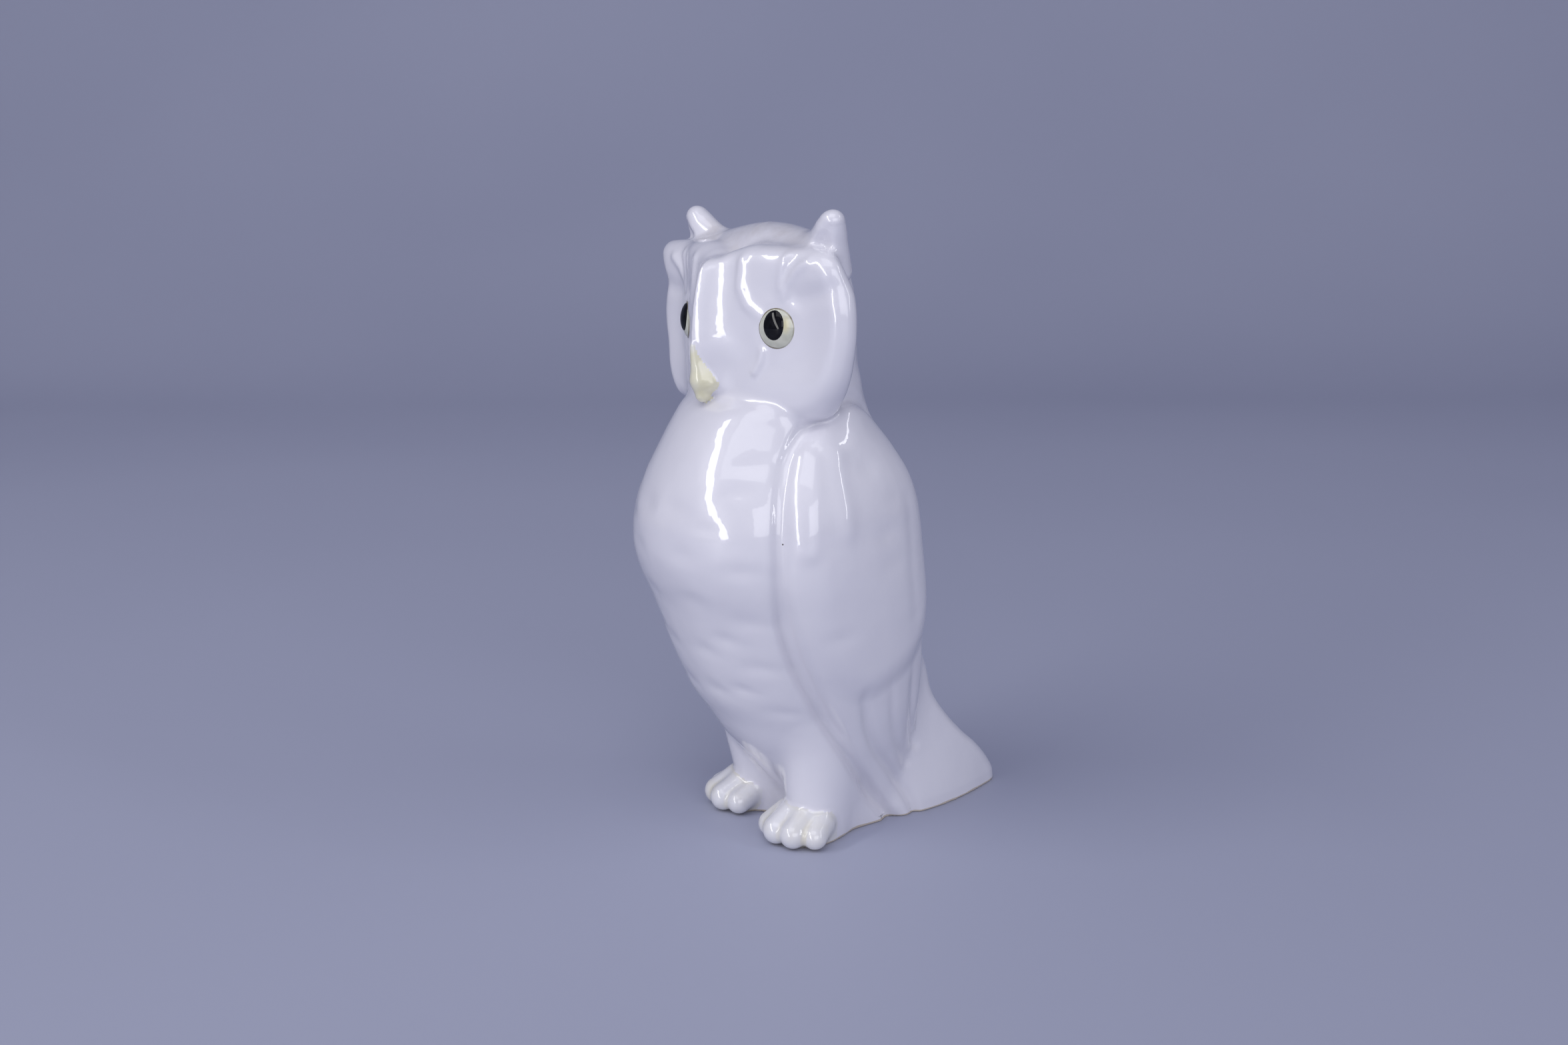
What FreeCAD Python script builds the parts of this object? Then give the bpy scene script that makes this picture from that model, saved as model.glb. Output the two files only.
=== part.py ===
"""Horned owl figurine, slip-cast glazed porcelain, standing 100 mm tall.

Frame: millimetres, +Z up, the owl looks along -Y, +X is the owl's left hand,
the table plane is Z = 0 and the origin is the middle of the footprint box.

Every size lives in the spreadsheet "sizes"; the rings, plates and sketches
below are bound to it by expressions.
"""
import FreeCAD, Part
import math
import os
import Sketcher
from FreeCAD import Vector, Rotation, Placement

doc = FreeCAD.newDocument("owl_figurine")
sizes = doc.addObject("Spreadsheet::Sheet", "sizes")
line_no = 0
AXIS_SHIFT = -8.63


def size(alias, value, note=""):
    """One named size in the sheet."""
    global line_no
    line_no += 1
    sizes.set("A%d" % line_no, note or alias.replace("_", " "))
    sizes.set("B%d" % line_no, "%.6g" % value)
    sizes.setAlias("B%d" % line_no, alias)
    return value


def bind(obj, prop, expr):
    obj.setExpression(prop, expr)


# ---------------------------------------------------------------- overall
size("axis_shift", AXIS_SHIFT, "from the owl's standing axis to the footprint middle, along Y")
size("wall", 3.0, "cast wall of the body and head")
size("neck_height", 70.0, "luting seam between body and head")
size("vent_radius", 1.5, "air vent through the foot ring floor")
size("wing_relief", 1.3, "how far the flight feathers stand off the body")
size("covert_relief", 2.1, "how far the wing coverts stand off the body")


# ---------------------------------------------------------------- helpers
def ring(name, cx, cy, cz, rx, ry, zmaj=False):
    """A horizontal ellipse; each argument is an expression in sheet terms."""
    e = doc.addObject("Part::Ellipse", name)
    e.MajorRadius = 500.0
    e.MinorRadius = 1.0
    if zmaj:                       # long axis along Y
        e.Placement = Placement(Vector(0, 0, 0), Rotation(Vector(0, 0, 1), 90))
        bind(e, "MajorRadius", ry)
        bind(e, "MinorRadius", rx)
    else:                          # long axis along X
        e.Placement = Placement(Vector(0, 0, 0), Rotation(Vector(0, 0, 1), 0))
        bind(e, "MajorRadius", rx)
        bind(e, "MinorRadius", ry)
    bind(e, "Placement.Base.x", cx)
    bind(e, "Placement.Base.y", cy)
    bind(e, "Placement.Base.z", cz)
    return e


def loft(name, rings):
    lo = doc.addObject("Part::Loft", name)
    lo.Sections = rings
    lo.Solid = True
    lo.Ruled = False
    lo.MaxDegree = 5
    return lo


def fuse(name, parts):
    f = doc.addObject("Part::MultiFuse", name)
    f.Shapes = parts
    f.Refine = False
    return f


def cut(name, base, tool):
    c = doc.addObject("Part::Cut", name)
    c.Base = base
    c.Tool = tool
    c.Refine = False
    return c


def common(name, parts):
    c = doc.addObject("Part::MultiCommon", name)
    c.Shapes = parts
    c.Refine = False
    return c


def egg(name, c, r, turn=0.0, lean=0.0, nod=0.0):
    """Ellipsoid: r = (x, y, z) radii; turn about Z, then nod about X, lean about Y."""
    e = doc.addObject("Part::Ellipsoid", name)
    e.Placement = Placement(Vector(0, 0, 0),
                            Rotation(Vector(0, 0, 1), turn)
                            .multiply(Rotation(Vector(0, 1, 0), lean))
                            .multiply(Rotation(Vector(1, 0, 0), nod)))
    e.Angle1 = -90
    e.Angle2 = 90
    e.Angle3 = 360
    bind(e, "Radius1", r[2])
    bind(e, "Radius2", r[0])
    bind(e, "Radius3", r[1])
    bind(e, "Placement.Base.x", c[0])
    bind(e, "Placement.Base.y", c[1])
    bind(e, "Placement.Base.z", c[2])
    return e


def outline(name, key, pts, plane, mirror=False, depth="60", offset="-30"):
    """Closed cubic B-spline sketch (poles bound to the sheet) and its extrusion.

    plane "YZ": u = Y, v = Z, extruded along X; "XZ": u = X, v = Z, extruded
    along -Y; "XY": u = X, v = Y, extruded along +Z.
    """
    sk = doc.addObject("Sketcher::SketchObject", name + "_sketch")
    if plane == "YZ":
        rot = Rotation(Vector(0, 1, 0), Vector(0, 0, 1), Vector(1, 0, 0), "XYZ")
        way = Vector(1, 0, 0)
        prop = "Placement.Base.x"
    elif plane == "XZ":
        rot = Rotation(Vector(1, 0, 0), Vector(0, 0, 1), Vector(0, -1, 0), "XYZ")
        way = Vector(0, 1, 0)
        prop = "Placement.Base.y"
    else:
        rot = Rotation()
        way = Vector(0, 0, 1)
        prop = "Placement.Base.z"
    sk.Placement = Placement(Vector(0, 0, 0), rot)
    bind(sk, prop, offset)
    sgn = -1.0 if mirror else 1.0
    sk.addGeometry(Part.BSplineCurve([Vector(sgn * u if plane != "YZ" else u, v, 0) for u, v in pts],
                                     None, None, True, 3, None, False), False)
    sk.exposeInternalGeometry(0)
    yy = {"YZ": 0, "XZ": None, "XY": 1}[plane]
    for i, (u, v) in enumerate(pts):
        for k, val in enumerate((u, v)):
            alias = "%s_%s_%d" % (key, "uv"[k], i)
            if not (mirror and plane != "YZ") and alias not in known:
                known.add(alias)
                size(alias, val)
            expr = "<<sizes>>." + alias
            if mirror and plane != "YZ" and k == 0:
                expr = "-" + expr
                val = -val
            if yy == k:
                expr += " + <<sizes>>.axis_shift"
                val = val + AXIS_SHIFT
            con = sk.addConstraint(Sketcher.Constraint("DistanceX" if k == 0 else "DistanceY",
                                                       -1, 1, 1 + i, 3, float(val)))
            sk.setExpression("Constraints[%d]" % con, expr)
    ex = doc.addObject("Part::Extrusion", name)
    ex.Base = sk
    ex.DirMode = "Custom"
    ex.Dir = way
    ex.Solid = True
    bind(ex, "LengthFwd", depth)
    return ex


known = set()

# ---------------------------------------------------------------- body shell
# height, half width, front (toward the breast), back
BODY = [
    (0.0, 9.6, 1.8, 23.0), (3.5, 9.9, 0.3, 22.8), (9.0, 11.0, -3.9, 22.8),
    (16.0, 13.8, -9.8, 22.9), (24.0, 16.7, -15.3, 23.3), (32.0, 18.7, -18.8, 22.7),
    (40.0, 20.2, -21.6, 21.6), (48.0, 20.9, -24.4, 20.2), (56.0, 20.2, -23.7, 19.3),
    (62.0, 18.0, -21.2, 17.0), (66.5, 15.6, -18.6, 13.9), (70.0, 14.3, -16.8, 11.8),
]
for i, (z, a, f, b) in enumerate(BODY):
    size("body_z_%d" % i, z)
    size("body_half_%d" % i, a)
    size("body_front_%d" % i, f)
    size("body_back_%d" % i, b)


def body_rings(tag, grow, ids):
    out = []
    for i in ids:
        out.append(ring("%s_ring_%d" % (tag, i), "0",
                        "(<<sizes>>.body_front_%d + <<sizes>>.body_back_%d) / 2 + <<sizes>>.axis_shift" % (i, i),
                        "<<sizes>>.body_z_%d" % i,
                        "<<sizes>>.body_half_%d + %s" % (i, grow),
                        "(<<sizes>>.body_back_%d - <<sizes>>.body_front_%d) / 2 + %s" % (i, i, grow), True))
    return out


body_outer = loft("body_outer", body_rings("outer", "0", range(12)))

# feathered legs: two soft columns that leave the belly and end behind the toes
size("leg_x", 8.1)
LEG = [(0.0, 4.4, 6.2, 2.6), (6.0, 4.8, 7.2, 1.6), (13.0, 5.4, 8.4, 0.6), (20.0, 5.4, 8.4, -0.2), (26.0, 3.4, 6.0, -1.0)]
for i, (z, rx, ry, y) in enumerate(LEG):
    size("leg_z_%d" % i, z)
    size("leg_half_%d" % i, rx)
    size("leg_deep_%d" % i, ry)
    size("leg_y_%d" % i, y)
legs = []
for side, sg in (("left", ""), ("right", "-")):
    rr = [ring("%s_leg_ring_%d" % (side, i), sg + "<<sizes>>.leg_x",
               "<<sizes>>.leg_y_%d + <<sizes>>.axis_shift" % i, "<<sizes>>.leg_z_%d" % i,
               "<<sizes>>.leg_half_%d" % i, "<<sizes>>.leg_deep_%d" % i, True) for i in range(len(LEG))]
    legs.append(loft(side + "_leg", rr))
body_full = fuse("body_with_legs", [body_outer] + legs)
body_cavity = loft("body_cavity", body_rings("inner", "-<<sizes>>.wall", range(1, 12)))
vent = doc.addObject("Part::Cylinder", "vent")
bind(vent, "Radius", "<<sizes>>.vent_radius")
bind(vent, "Height", "<<sizes>>.body_z_1 + 4")
bind(vent, "Placement.Base.y", "8 + <<sizes>>.axis_shift")
vent.Placement = Placement(Vector(0, 0, -2), Rotation())
hollow = fuse("body_hollow", [body_cavity, vent])
torso = cut("torso", body_full, hollow)

# ---------------------------------------------------------------- head shell
# height, half width, front, back
HEAD = [
    (70.0, 14.3, -16.8, 11.8), (73.5, 14.8, -13.8, 10.4), (78.0, 15.1, -12.0, 9.6),
    (84.0, 15.2, -10.4, 9.6), (89.5, 14.6, -10.0, 9.0), (93.5, 13.2, -9.0, 7.4),
    (96.0, 10.8, -7.6, 5.0), (97.2, 7.6, -5.6, 2.4), (97.6, 4.2, -3.6, 0.4),
]
for i, (z, a, f, b) in enumerate(HEAD):
    size("head_z_%d" % i, z)
    size("head_half_%d" % i, a)
    size("head_front_%d" % i, f)
    size("head_back_%d" % i, b)


def head_rings(tag, grow, ids):
    out = []
    for i in ids:
        # the lowest ring is the body's own top ring, so the seam is flush
        key = "body" if i == 0 else "head"
        j = 11 if i == 0 else i
        out.append(ring("%s_ring_%d" % (tag, i), "0",
                        "(<<sizes>>.%s_front_%d + <<sizes>>.%s_back_%d) / 2 + <<sizes>>.axis_shift" % (key, j, key, j),
                        "<<sizes>>.%s_z_%d" % (key, j),
                        "<<sizes>>.%s_half_%d + %s" % (key, j, grow),
                        "(<<sizes>>.%s_back_%d - <<sizes>>.%s_front_%d) / 2 + %s" % (key, j, key, j, grow), False))
    return out


head_core = loft("head_core", head_rings("skull", "0", range(9)))

# facial disc: a plan profile with the bill ridge in front, times a front outline
DISC_PLAN = [(0.0, -17.7), (1.8, -15.9), (4.2, -13.3), (8.0, -11.0), (12.0, -10.1), (16.0, -9.8),
             (20.6, -9.4), (22.8, -7.0), (21.8, -3.6), (15.0, -1.4), (6.0, 0.5)]
DISC_FRONT = [(0.0, 90.6), (3.4, 91.6), (6.6, 93.6), (11.2, 95.1), (16.6, 95.9), (22.2, 94.0),
              (21.8, 88.2), (22.9, 82.0), (21.6, 74.8), (16.6, 69.2), (9.6, 68.4), (4.8, 71.0), (0.0, 72.4)]


def mirrored(pts):
    """Close a right-half outline by its mirror image, poles on the axis once."""
    rest = [(-u, v) for u, v in reversed(pts) if u > 0]
    return pts + rest


plan = outline("disc_plan", "disc_plan", mirrored(DISC_PLAN), "XY", False, "34", "66")
front = outline("disc_front", "disc_front", mirrored(DISC_FRONT), "XZ", False, "30", "-36")
disc = common("facial_disc", [plan, front])
head_full = fuse("head_solid", [head_core, disc])
head_hollow = loft("head_hollow", head_rings("brain", "-<<sizes>>.wall", [0, 1, 2, 3, 4, 5]))
head_shell = cut("head_shell", cut("head_less_body", head_full, body_outer), head_hollow)

# ---------------------------------------------------------------- eyes
EYE_TURN = size("eye_turn", 24.0, "each eye looks this many degrees out from straight ahead")
for k, v in (("eye_x", 11.6), ("eye_y", -10.5), ("eye_z", 82.4), ("iris_radius", 3.0),
             ("iris_seat", 1.4), ("dome_height", 0.9), ("pupil_half_width", 1.55), ("pupil_half_height", 2.35),
             ("enamel", 0.45), ("pupil_toward_bill", 0.45)):
    size(k, v)
eye_sockets, eye_parts = [], {}
for side, sg in (("left", 1.0), ("right", -1.0)):
    s = "" if sg > 0 else "-"
    # local frame: +Z out of the face, +Y up
    nx, ny = math.sin(math.radians(EYE_TURN)) * sg, -math.cos(math.radians(EYE_TURN))
    rot = Rotation(Vector(-ny, nx, 0), Vector(0, 0, 1), Vector(nx, ny, 0), "XYZ")

    def put(obj, along, aside="0"):
        obj.Placement = Placement(Vector(0, 0, 0), rot.multiply(obj.Placement.Rotation))
        bind(obj, "Placement.Base.x", "%s<<sizes>>.eye_x + (%g) * (%s) + (%g) * (%s)" % (s, nx, along, -ny, aside))
        bind(obj, "Placement.Base.y", "<<sizes>>.eye_y + <<sizes>>.axis_shift + (%g) * (%s) + (%g) * (%s)" % (ny, along, nx, aside))
        bind(obj, "Placement.Base.z", "<<sizes>>.eye_z")

    def post(nm, r):
        p = doc.addObject("Part::Cylinder", side + "_" + nm)
        bind(p, "Radius", r)
        bind(p, "Height", "<<sizes>>.iris_seat + 4")
        return p

    def ball(nm, grow):
        """Dome sphere through the iris rim, its top dome_height above it."""
        b = doc.addObject("Part::Sphere", side + "_" + nm)
        bind(b, "Radius", "(<<sizes>>.iris_radius ^ 2 + <<sizes>>.dome_height ^ 2) / (2 * <<sizes>>.dome_height) + %s" % grow)
        put(b, "<<sizes>>.dome_height - (<<sizes>>.iris_radius ^ 2 + <<sizes>>.dome_height ^ 2) / (2 * <<sizes>>.dome_height)")
        return b

    seat = post("socket", "<<sizes>>.iris_radius")
    put(seat, "-<<sizes>>.iris_seat")
    stem = post("iris_stem", "<<sizes>>.iris_radius")
    put(stem, "-<<sizes>>.iris_seat")
    dome = ball("iris_dome", "0")
    iris_full = common(side + "_iris_full", [stem, dome])
    under = ball("pupil_bed", "-<<sizes>>.enamel")
    lid = doc.addObject("Part::Ellipsoid", side + "_pupil_outline")
    lid.Placement = Placement(Vector(0, 0, 0), Rotation())
    lid.Angle1, lid.Angle2, lid.Angle3 = -90, 90, 360
    bind(lid, "Radius2", "<<sizes>>.pupil_half_width")
    bind(lid, "Radius3", "<<sizes>>.pupil_half_height")
    bind(lid, "Radius1", "6")
    put(lid, "0", "%g * <<sizes>>.pupil_toward_bill" % (-sg))
    patch = common(side + "_pupil_patch", [lid, iris_full])
    pupil = cut(side + "_pupil", patch, under)
    iris = cut(side + "_iris", iris_full, pupil)
    eye_sockets.append(seat)
    eye_parts[side] = (iris, pupil)

# ---------------------------------------------------------------- bill
BILL = [(80.4, 0.9, 1.3, -17.0), (78.4, 1.8, 2.3, -16.9), (75.8, 2.5, 2.9, -16.6), (73.2, 2.2, 2.4, -16.4), (70.8, 0.7, 0.9, -16.4)]
for i, (z, rx, ry, y) in enumerate(BILL):
    size("bill_z_%d" % i, z)
    size("bill_half_%d" % i, rx)
    size("bill_deep_%d" % i, ry)
    size("bill_y_%d" % i, y)
bill_solid = loft("bill_solid", [ring("bill_ring_%d" % i, "0", "<<sizes>>.bill_y_%d + <<sizes>>.axis_shift" % i,
                                      "<<sizes>>.bill_z_%d" % i, "<<sizes>>.bill_half_%d" % i,
                                      "<<sizes>>.bill_deep_%d" % i, True) for i in range(len(BILL))])
head = cut("head", head_shell, fuse("eye_sockets", eye_sockets))
beak = cut("beak", cut("beak_less_head", bill_solid, head_full), body_full)

# ---------------------------------------------------------------- ear tufts
EAR = [(89.0, 3.6, 3.9, 15.2, -4.7), (93.0, 4.0, 4.3, 16.2, -4.6), (96.2, 3.2, 3.6, 17.3, -4.5),
       (98.6, 1.9, 2.2, 17.9, -4.4), (99.6, 1.1, 1.3, 18.1, -4.4), (100.0, 0.5, 0.7, 18.1, -4.4)]
for i, (z, rx, ry, x, y) in enumerate(EAR):
    size("ear_z_%d" % i, z)
    size("ear_half_%d" % i, rx)
    size("ear_deep_%d" % i, ry)
    size("ear_x_%d" % i, x)
    size("ear_y_%d" % i, y)
ears = {}
for side, sg in (("left", ""), ("right", "-")):
    tuft = loft(side + "_ear_solid", [ring("%s_ear_ring_%d" % (side, i), sg + "<<sizes>>.ear_x_%d" % i,
                                           "<<sizes>>.ear_y_%d + <<sizes>>.axis_shift" % i, "<<sizes>>.ear_z_%d" % i,
                                           "<<sizes>>.ear_half_%d" % i, "<<sizes>>.ear_deep_%d" % i, True)
                                      for i in range(len(EAR))])
    scoop = egg(side + "_ear_scoop", (sg + "16.6", "-9.3 + <<sizes>>.axis_shift", "96.4"),
                ("2.3", "3.4", "4.6"), 0.0, 14.0 if side == "left" else -14.0)
    ears[side] = cut(side + "_ear_tuft", cut(side + "_ear_scooped", tuft, scoop), head_full)

# ---------------------------------------------------------------- tail
TAIL_SIDE = [(11.0, -1.2), (30.0, -0.3), (41.8, -0.9), (42.8, 1.3), (39.8, 4.1), (33.6, 8.8), (27.2, 14.8), (23.4, 22.5), (19.6, 28.5), (11.0, 24.0)]
TAIL_PLAN = [(0.0, 42.0), (4.2, 42.0), (8.0, 40.8), (9.4, 34.0), (11.8, 27.0), (13.2, 20.4), (9.4, 9.0), (0.0, 8.0)]
tail_side = outline("tail_side", "tail_side", TAIL_SIDE, "YZ", False, "40", "-20")
tail_plan = outline("tail_plan", "tail_plan", mirrored(TAIL_PLAN), "XY", False, "40", "0")
tail = cut("tail", common("tail_fan", [tail_side, tail_plan]), body_full)

# ---------------------------------------------------------------- wings
WING = [(1.0, 71.0), (-4.6, 69.6), (-9.2, 66.4), (-12.4, 60.6), (-14.2, 53.6), (-14.2, 45.6), (-12.2, 37.6), (-8.0, 29.4),
        (-2.4, 20.6), (3.6, 12.2), (9.4, 4.4), (15.0, -1.4), (20.6, -1.2), (20.2, 6.4), (17.2, 15.0), (13.2, 25.0),
        (10.4, 35.0), (9.2, 45.0), (7.6, 56.0), (4.8, 65.6)]
COVERT = [(1.4, 68.4), (-4.4, 67.0), (-9.0, 62.8), (-11.8, 56.6), (-12.4, 49.0), (-11.2, 40.4), (-8.2, 32.8), (-3.6, 27.6),
          (1.6, 24.6), (6.2, 26.8), (9.6, 33.0), (8.6, 45.0), (6.8, 56.0), (4.4, 64.6)]
relief = {"flight": "<<sizes>>.wing_relief", "covert": "<<sizes>>.covert_relief"}
flight_skin = loft("flight_skin", body_rings("flight", relief["flight"], range(12)))
covert_skin = loft("covert_skin", body_rings("covert", relief["covert"], range(12)))
wings = {}
for side, off in (("left", "6"), ("right", "-36")):
    w = outline(side + "_wing_side", "wing", WING, "YZ", side == "right", "30", off)
    c = outline(side + "_covert_side", "covert", COVERT, "YZ", side == "right", "30", off)
    pair = fuse(side + "_wing_layers", [common(side + "_flight", [w, flight_skin]),
                                        common(side + "_coverts", [c, covert_skin])])
    keep = fuse(side + "_wing_cutters", [body_full, head_full, tail])
    wings[side] = cut(side + "_wing", pair, keep)

# ---------------------------------------------------------------- feet
# four stubby toes on each foot, fanned and turned out
TOES = [(-4.3, -0.9, 1.75, 3.9, -8.0), (-1.6, -2.3, 2.0, 4.4, -3.0), (1.5, -2.2, 2.0, 4.3, 3.0), (4.2, -0.5, 1.75, 3.7, 9.0)]
FOOT_TURN = size("foot_turn", 12.0, "each foot is turned out by this many degrees")
for k, v in (("left_foot_x", 8.4), ("left_foot_y", -3.0), ("right_foot_x", 10.0), ("right_foot_y", -2.2),
             ("toe_height", 2.3), ("toe_center_z", 1.9)):
    size(k, v)
ct, st = math.cos(math.radians(FOOT_TURN)), math.sin(math.radians(FOOT_TURN))
for i, (dx, dy, rx, ry, t) in enumerate(TOES):
    size("toe_x_%d" % i, dx * ct - dy * st)
    size("toe_y_%d" % i, dx * st + dy * ct)
    size("toe_half_%d" % i, rx)
    size("toe_long_%d" % i, ry)
floor = doc.addObject("Part::Box", "under_table")
floor.Length, floor.Width, floor.Height = 120, 120, 20
floor.Placement = Placement(Vector(-60, -60, -20), Rotation())
feet = {}
for side, sg in (("left", 1.0), ("right", -1.0)):
    s = "" if sg > 0 else "-"
    toes = []
    for i, (dx, dy, rx, ry, t) in enumerate(TOES):
        toes.append(egg("%s_toe_%d" % (side, i),
                        ("%s(<<sizes>>.%s_foot_x + <<sizes>>.toe_x_%d)" % (s, side, i),
                         "<<sizes>>.%s_foot_y + <<sizes>>.toe_y_%d + <<sizes>>.axis_shift" % (side, i),
                         "<<sizes>>.toe_center_z"),
                        ("<<sizes>>.toe_half_%d" % i, "<<sizes>>.toe_long_%d" % i, "<<sizes>>.toe_height"),
                        (FOOT_TURN + t) * sg))
    toes.append(egg(side + "_foot_pad", (s + "<<sizes>>.%s_foot_x" % side, "<<sizes>>.%s_foot_y + 1.4 + <<sizes>>.axis_shift" % side, "0.6"),
                    ("4.9", "5.0", "4.4"), FOOT_TURN * sg))
    feet[side] = cut(side + "_foot", fuse(side + "_toes", toes), fuse(side + "_foot_cutters", [floor, body_full]))

# ---------------------------------------------------------------- recompute, check, write
doc.recompute()
nodes = {
    "torso": torso, "head": head, "left_wing": wings["left"], "right_wing": wings["right"], "tail": tail,
    "left_foot": feet["left"], "right_foot": feet["right"],
    "left_ear_tuft": ears["left"], "right_ear_tuft": ears["right"], "beak": beak,
    "left_iris": eye_parts["left"][0], "right_iris": eye_parts["right"][0],
    "left_pupil": eye_parts["left"][1], "right_pupil": eye_parts["right"][1],
}
bad = []
for o in doc.Objects:
    if any(w in o.State for w in ("Invalid", "Error")):
        bad.append("%s state %s %s" % (o.Name, o.State, o.getStatusString()))
for name, o in nodes.items():
    o.Label = name
    if o.Shape.isNull() or not o.Shape.isValid() or len(o.Shape.Solids) < 1:
        bad.append("%s shape" % name)
        continue
    print("%-16s solids %d  volume %9.1f  faces %d" % (name, len(o.Shape.Solids), o.Shape.Volume, len(o.Shape.Faces)))
if bad:
    print("PROBLEMS")
    print("\n".join(bad))
    raise SystemExit(3)
os.makedirs("parts", exist_ok=True)
for name, o in nodes.items():
    o.Shape.exportStep("parts/%s.step" % name)
print("written", len(nodes))
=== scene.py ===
import bpy
import math
import numpy as np
from mathutils import Vector, Matrix


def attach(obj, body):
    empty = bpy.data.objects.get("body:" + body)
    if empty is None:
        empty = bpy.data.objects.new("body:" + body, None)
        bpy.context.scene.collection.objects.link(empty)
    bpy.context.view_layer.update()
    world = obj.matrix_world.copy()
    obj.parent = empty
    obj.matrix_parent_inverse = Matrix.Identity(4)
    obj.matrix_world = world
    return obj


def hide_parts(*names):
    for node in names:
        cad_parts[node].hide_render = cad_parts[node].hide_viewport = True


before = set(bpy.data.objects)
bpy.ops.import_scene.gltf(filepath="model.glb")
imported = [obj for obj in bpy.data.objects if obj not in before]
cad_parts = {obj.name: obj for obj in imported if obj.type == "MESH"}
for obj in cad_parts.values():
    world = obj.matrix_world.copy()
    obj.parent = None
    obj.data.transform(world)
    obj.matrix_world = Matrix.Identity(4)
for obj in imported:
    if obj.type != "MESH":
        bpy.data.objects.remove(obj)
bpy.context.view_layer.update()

# ======================================================================
# The owl is sculpted as one continuous distance field, in millimetres,
# in the owl's standing frame: Z up, the face towards -Y. The field is
# meshed, and the mesh is split at the creases into the modelled pieces.
# ======================================================================
# SCULPT-BEGIN
F32 = np.float32


def smin(a, b, k):
    h = np.clip(0.5 + 0.5 * (b - a) / k, 0, 1)
    return b * (1 - h) + a * h - k * h * (1 - h)


def smax(a, b, k):
    return -smin(-a, -b, k)


def sstep(a, b, x):
    t = np.clip((x - a) / (b - a), 0, 1)
    return t * t * (3 - 2 * t)


def gl(d, w):
    return np.exp(-(d / w) ** 2)


def ellipsoid(x, y, z, c, r):
    px, py, pz = x - c[0], y - c[1], z - c[2]
    k0 = np.sqrt((px / r[0]) ** 2 + (py / r[1]) ** 2 + (pz / r[2]) ** 2)
    k1 = np.sqrt((px / r[0] ** 2) ** 2 + (py / r[1] ** 2) ** 2 + (pz / r[2] ** 2) ** 2) + 1e-6
    return k0 * (k0 - 1) / k1


def capsule(x, y, z, a, b, r1, r2):
    a = np.array(a, float)
    d = np.array(b, float) - a
    px, py, pz = x - a[0], y - a[1], z - a[2]
    t = np.clip((px * d[0] + py * d[1] + pz * d[2]) / (d @ d), 0, 1)
    dx, dy, dz = px - t * d[0], py - t * d[1], pz - t * d[2]
    return np.sqrt(dx * dx + dy * dy + dz * dz) - (r1 + (r2 - r1) * t)


def pdist2(u, v, pts):
    best = None
    for (a0, a1), (b0, b1) in zip(pts[:-1], pts[1:]):
        d0, d1 = b0 - a0, b1 - a1
        t = np.clip(((u - a0) * d0 + (v - a1) * d1) / (d0 * d0 + d1 * d1), 0, 1)
        dd = (u - a0 - t * d0) ** 2 + (v - a1 - t * d1) ** 2
        best = dd if best is None else np.minimum(best, dd)
    return np.sqrt(best)


def polysd(u, v, pts):
    n = len(pts)
    d = pdist2(u, v, list(pts) + [pts[0]])
    ins = np.zeros(np.shape(u), bool)
    for i in range(n):
        a0, a1 = pts[i]
        b0, b1 = pts[(i + 1) % n]
        c = ((a1 > v) != (b1 > v))
        xi = (b0 - a0) * (v - a1) / ((b1 - a1) if b1 != a1 else 1e-9) + a0
        ins ^= c & (u < xi)
    return np.where(ins, -d, d)


def crom(pts, n=8, closed=False):
    P = np.array(pts, float)
    P = np.vstack([P[-1], P, P[0], P[1]]) if closed else np.vstack([2 * P[0] - P[1], P, 2 * P[-1] - P[-2]])
    out = []
    for i in range(1, len(P) - 2):
        p0, p1, p2, p3 = P[i - 1:i + 3]
        for t in np.arange(n) / n:
            out.append(0.5 * (2 * p1 + (p2 - p0) * t + (2 * p0 - 5 * p1 + 4 * p2 - p3) * t * t + (3 * p1 - p0 - 3 * p2 + p3) * t ** 3))
    if not closed:
        out.append(P[-2])
    return [tuple(p) for p in out]


class Prof:
    """a smooth curve through a table of values"""

    def __init__(s, zs, vs):
        zs, vs = np.array(zs, float), np.array(vs, float)
        m = np.zeros_like(vs)
        d = np.diff(vs) / np.diff(zs)
        m[1:-1] = (d[:-1] * np.diff(zs)[1:] + d[1:] * np.diff(zs)[:-1]) / (zs[2:] - zs[:-2])
        m[0], m[-1] = d[0], d[-1]
        for i in range(1, len(zs) - 1):
            if d[i - 1] * d[i] <= 0:
                m[i] = 0
        Z, V = [], []
        for i in range(len(zs) - 1):
            h = zs[i + 1] - zs[i]
            t = np.linspace(0, 1, 24, endpoint=False)
            Z.append(zs[i] + t * h)
            V.append((2 * t ** 3 - 3 * t ** 2 + 1) * vs[i] + (t ** 3 - 2 * t ** 2 + t) * h * m[i]
                     + (3 * t ** 2 - 2 * t ** 3) * vs[i + 1] + (t ** 3 - t ** 2) * h * m[i + 1])
        s.z = np.concatenate(Z + [[zs[-1]]])
        s.v = np.concatenate(V + [[vs[-1]]])

    def __call__(s, z):
        return np.interp(z, s.z, s.v)


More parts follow.
